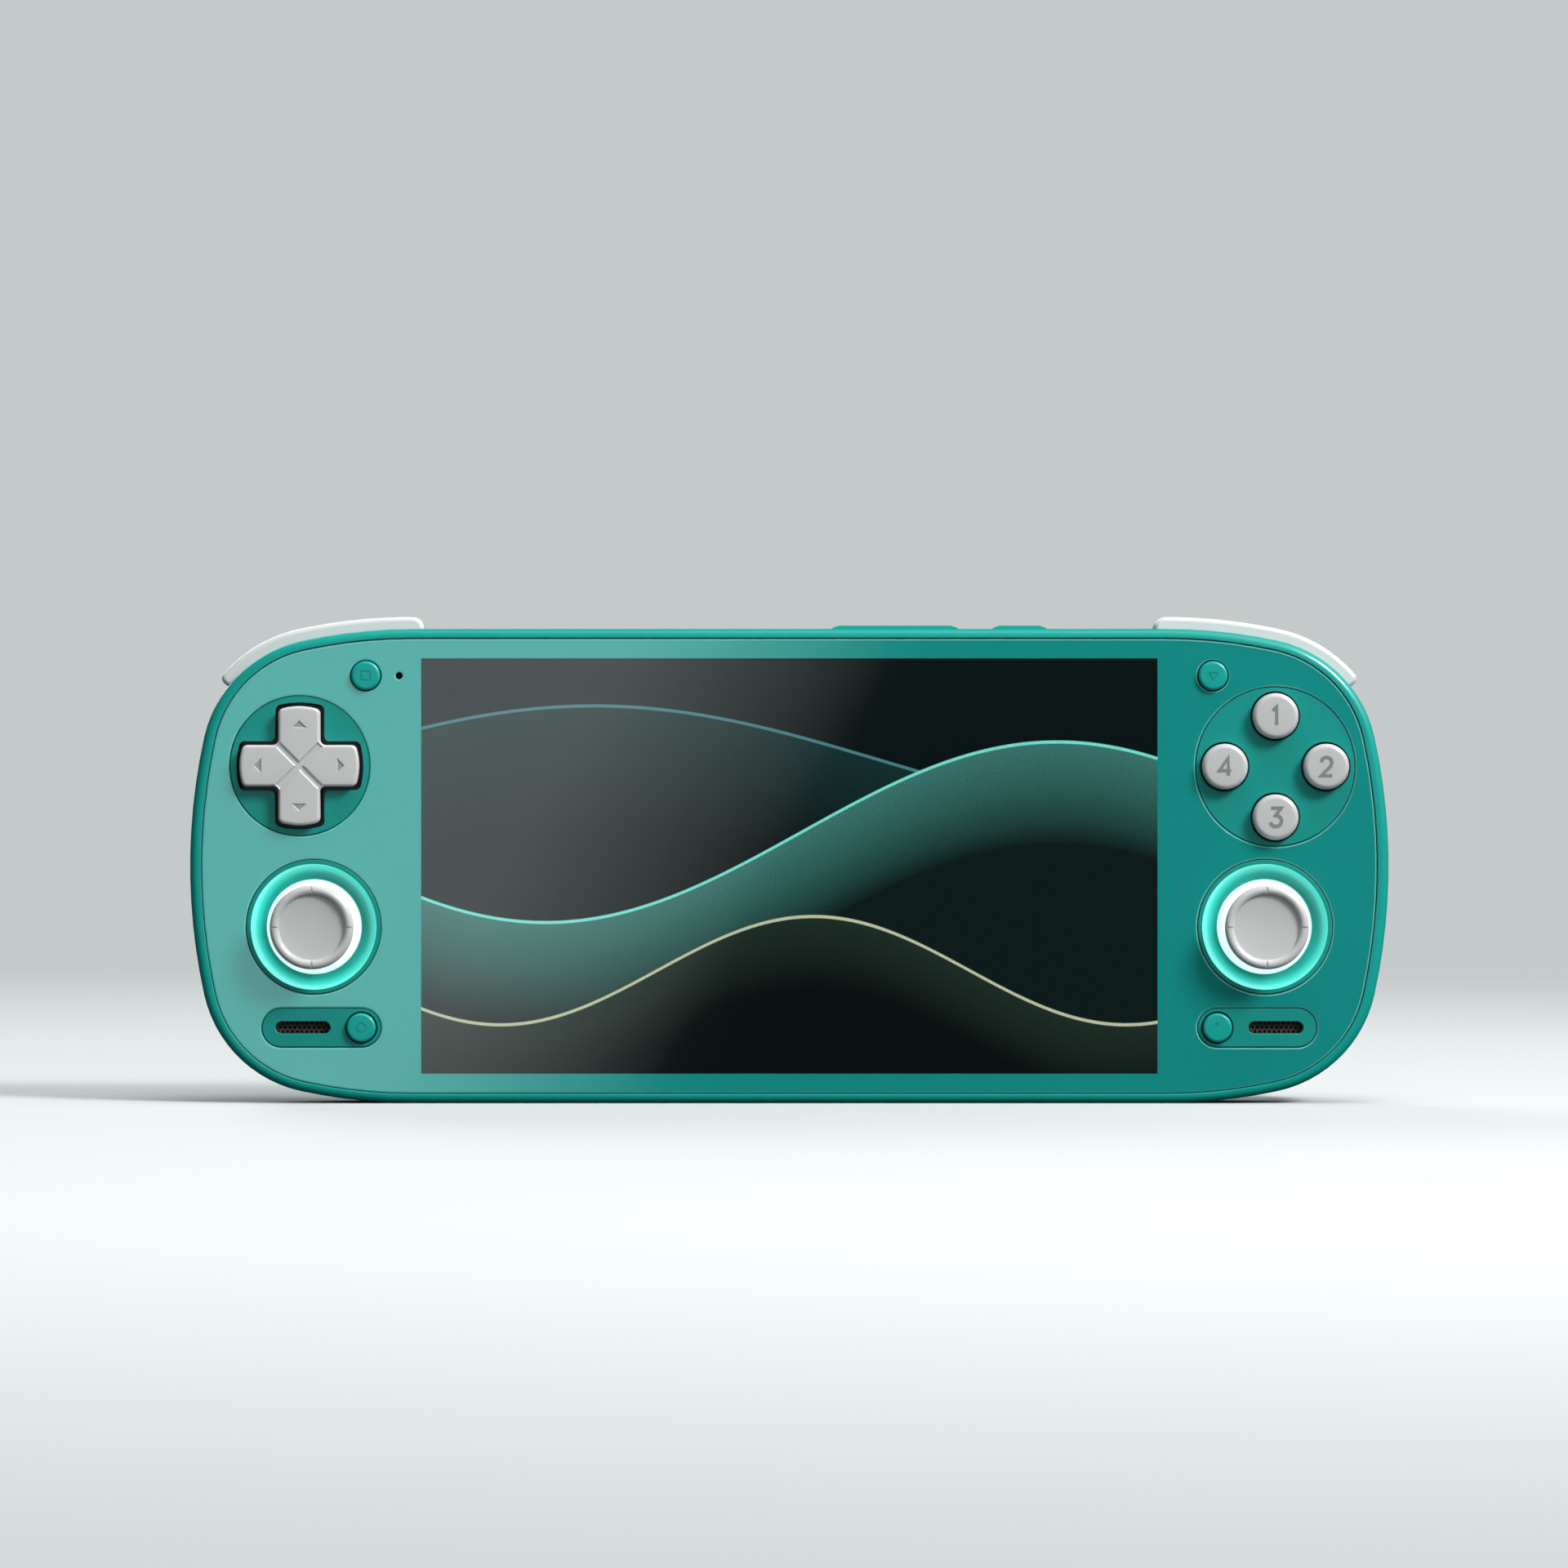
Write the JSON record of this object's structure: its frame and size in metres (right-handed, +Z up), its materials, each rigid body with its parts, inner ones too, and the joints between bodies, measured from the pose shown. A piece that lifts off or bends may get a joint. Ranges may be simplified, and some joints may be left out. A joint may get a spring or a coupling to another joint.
{
  "type": "handheld game console",
  "caption": "Wide handheld game console with a flush glass face, analog sticks, a direction pad, round buttons, bumpers and triggers.",
  "frame": {"origin": "middle of the flat bottom edge, half way between the front face and the rear cover", "axes": "+X to the right seen from the front, +Y from the face to the back, +Z up"},
  "size_m": [0.1992, 0.0275, 0.0808],
  "materials": {
    "teal_plastic": "glossy moulded plastic",
    "face_glass": "polished clear glass",
    "teal_print": "printed film",
    "screen": "display",
    "steel_sheet": "stamped sheet",
    "magnesium": "cast, matt",
    "circuit_board": "glass fibre board",
    "battery_wrap": "foil pouch",
    "copper": "bare copper",
    "dark_plastic": "moulded",
    "grey_plastic": "satin moulded plastic",
    "cap_rubber": "satin rubber",
    "white_plastic": "lit white plastic",
    "lit_teal_plastic": "translucent plastic over lamps",
    "soft_rubber": "silicone",
    "black_mesh": "woven mesh sheet",
    "steel": "machined"
  },
  "bodies": {
    "housing": {"front_frame": "teal_plastic", "rear_shell": "teal_plastic", "front_glass": "face_glass", "colour_film": "teal_print", "display_panel": "screen", "display_tray": "steel_sheet", "chassis_plate": "magnesium", "main_board": "circuit_board", "battery": "battery_wrap", "heat_sink": "copper", "fan_housing": "dark_plastic", "dpad_well": "teal_plastic", "dpad_membrane": "soft_rubber", "button_well": "teal_plastic", "button_membrane": "soft_rubber", "left_control_board": "circuit_board", "right_control_board": "circuit_board", "left_stick_well": "lit_teal_plastic", "right_stick_well": "lit_teal_plastic", "left_light_ring": "lit_teal_plastic", "right_light_ring": "lit_teal_plastic", "left_stick_base": "dark_plastic", "right_stick_base": "dark_plastic", "left_insert": "teal_plastic", "right_insert": "teal_plastic", "left_speaker": "dark_plastic", "right_speaker": "dark_plastic", "speaker_meshes": "black_mesh", "trigger_pins": "steel", "trigger_springs": "steel", "rear_screws": "steel", "board_screws": "steel", "tact_switches": "dark_plastic", "usb_socket": "steel_sheet", "audio_jack": "dark_plastic", "card_slot": "steel_sheet"},
    "fan_rotor": {"fan_rotor": "dark_plastic"},
    "dpad_pivot": {"dpad_pivot": "steel"},
    "dpad": {"dpad": "grey_plastic"},
    "volume_key": {"volume_key": "teal_plastic"},
    "power_key": {"power_key": "teal_plastic"},
    "button_north": {"button_north": "grey_plastic"},
    "button_east": {"button_east": "grey_plastic"},
    "button_south": {"button_south": "grey_plastic"},
    "button_west": {"button_west": "grey_plastic"},
    "select_button": {"select_button": "teal_plastic"},
    "start_button": {"start_button": "teal_plastic"},
    "home_button": {"home_button": "teal_plastic"},
    "back_button": {"back_button": "teal_plastic"},
    "left_stick_ring": {"left_stick_ring": "dark_plastic"},
    "left_stick_dome": {"left_stick_dome": "white_plastic"},
    "left_stick_cap": {"left_stick_cap": "cap_rubber"},
    "left_bumper": {"left_bumper": "grey_plastic"},
    "left_trigger": {"left_trigger": "grey_plastic"},
    "right_stick_ring": {"right_stick_ring": "dark_plastic"},
    "right_stick_dome": {"right_stick_dome": "white_plastic"},
    "right_stick_cap": {"right_stick_cap": "cap_rubber"},
    "right_bumper": {"right_bumper": "grey_plastic"},
    "right_trigger": {"right_trigger": "grey_plastic"}
  },
  "joints": [
    {"name": "fan_spin", "type": "hinge", "parent": "housing", "child": "fan_rotor", "pos_m": [0.028, 0.0025, 0.05], "axis": [0, 1, 0], "continuous": true},
    {"name": "dpad_rock_up_down", "type": "hinge", "parent": "housing", "child": "dpad_pivot", "pos_m": [-0.0813, -0.00485, 0.05605], "axis": [1, 0, 0], "range_deg": [-4.5, 4.5], "stiffness_Nm_per_rad": 0.15},
    {"name": "dpad_rock_left_right", "type": "hinge", "parent": "dpad_pivot", "child": "dpad", "pos_m": [-0.0813, -0.00485, 0.05605], "axis": [0, 0, 1], "range_deg": [-4.5, 4.5], "stiffness_Nm_per_rad": 0.15},
    {"name": "volume_rock", "type": "hinge", "parent": "housing", "child": "volume_key", "pos_m": [0.0176, -0.00205, 0.07805], "axis": [0, 1, 0], "range_deg": [-1.6, 1.6], "stiffness_Nm_per_rad": 0.25},
    {"name": "power_press", "type": "slide", "parent": "housing", "child": "power_key", "axis": [0, 0, -1], "range_m": [0, 0.00035], "stiffness_N_per_m": 900},
    {"name": "north_press", "type": "slide", "parent": "housing", "child": "button_north", "axis": [0, 1, 0], "range_m": [0, 0.0009], "stiffness_N_per_m": 500},
    {"name": "east_press", "type": "slide", "parent": "housing", "child": "button_east", "axis": [0, 1, 0], "range_m": [0, 0.0009], "stiffness_N_per_m": 500},
    {"name": "south_press", "type": "slide", "parent": "housing", "child": "button_south", "axis": [0, 1, 0], "range_m": [0, 0.0009], "stiffness_N_per_m": 500},
    {"name": "west_press", "type": "slide", "parent": "housing", "child": "button_west", "axis": [0, 1, 0], "range_m": [0, 0.0009], "stiffness_N_per_m": 500},
    {"name": "select_press", "type": "slide", "parent": "housing", "child": "select_button", "axis": [0, 1, 0], "range_m": [0, 0.00035], "stiffness_N_per_m": 900},
    {"name": "start_press", "type": "slide", "parent": "housing", "child": "start_button", "axis": [0, 1, 0], "range_m": [0, 0.00035], "stiffness_N_per_m": 900},
    {"name": "home_press", "type": "slide", "parent": "housing", "child": "home_button", "axis": [0, 1, 0], "range_m": [0, 0.00035], "stiffness_N_per_m": 900},
    {"name": "back_press", "type": "slide", "parent": "housing", "child": "back_button", "axis": [0, 1, 0], "range_m": [0, 0.00035], "stiffness_N_per_m": 900},
    {"name": "left_stick_left_right", "type": "hinge", "parent": "housing", "child": "left_stick_ring", "pos_m": [-0.079, -0.0012, 0.0293], "axis": [0, 0, 1], "range_deg": [-14.5, 14.5], "stiffness_Nm_per_rad": 0.04},
    {"name": "left_stick_up_down", "type": "hinge", "parent": "left_stick_ring", "child": "left_stick_dome", "pos_m": [-0.079, -0.0012, 0.0293], "axis": [1, 0, 0], "range_deg": [-14.5, 14.5], "stiffness_Nm_per_rad": 0.04},
    {"name": "left_stick_click", "type": "slide", "parent": "left_stick_dome", "child": "left_stick_cap", "axis": [0, 1, 0], "range_m": [0, 0.00035], "stiffness_N_per_m": 1500},
    {"name": "left_bumper_press", "type": "hinge", "parent": "housing", "child": "left_bumper", "pos_m": [-0.0627, -0.0012, 0.0772], "axis": [0, -1, 0], "range_deg": [0, 2], "stiffness_Nm_per_rad": 0.9},
    {"name": "left_trigger_pull", "type": "hinge", "parent": "housing", "child": "left_trigger", "pos_m": [-0.079, 0.0048, 0.069], "axis": [-1, 0, 0], "range_deg": [0, 12], "stiffness_Nm_per_rad": 0.06, "deforming": ["trigger_springs"]},
    {"name": "right_stick_left_right", "type": "hinge", "parent": "housing", "child": "right_stick_ring", "pos_m": [0.079, -0.0012, 0.0293], "axis": [0, 0, 1], "range_deg": [-14.5, 14.5], "stiffness_Nm_per_rad": 0.04},
    {"name": "right_stick_up_down", "type": "hinge", "parent": "right_stick_ring", "child": "right_stick_dome", "pos_m": [0.079, -0.0012, 0.0293], "axis": [1, 0, 0], "range_deg": [-14.5, 14.5], "stiffness_Nm_per_rad": 0.04},
    {"name": "right_stick_click", "type": "slide", "parent": "right_stick_dome", "child": "right_stick_cap", "axis": [0, 1, 0], "range_m": [0, 0.00035], "stiffness_N_per_m": 1500},
    {"name": "right_bumper_press", "type": "hinge", "parent": "housing", "child": "right_bumper", "pos_m": [0.0627, -0.0012, 0.0772], "axis": [0, 1, 0], "range_deg": [0, 2], "stiffness_Nm_per_rad": 0.9},
    {"name": "right_trigger_pull", "type": "hinge", "parent": "housing", "child": "right_trigger", "pos_m": [0.079, 0.0048, 0.069], "axis": [-1, 0, 0], "range_deg": [0, 12], "stiffness_Nm_per_rad": 0.06, "deforming": ["trigger_springs"]}
  ]
}
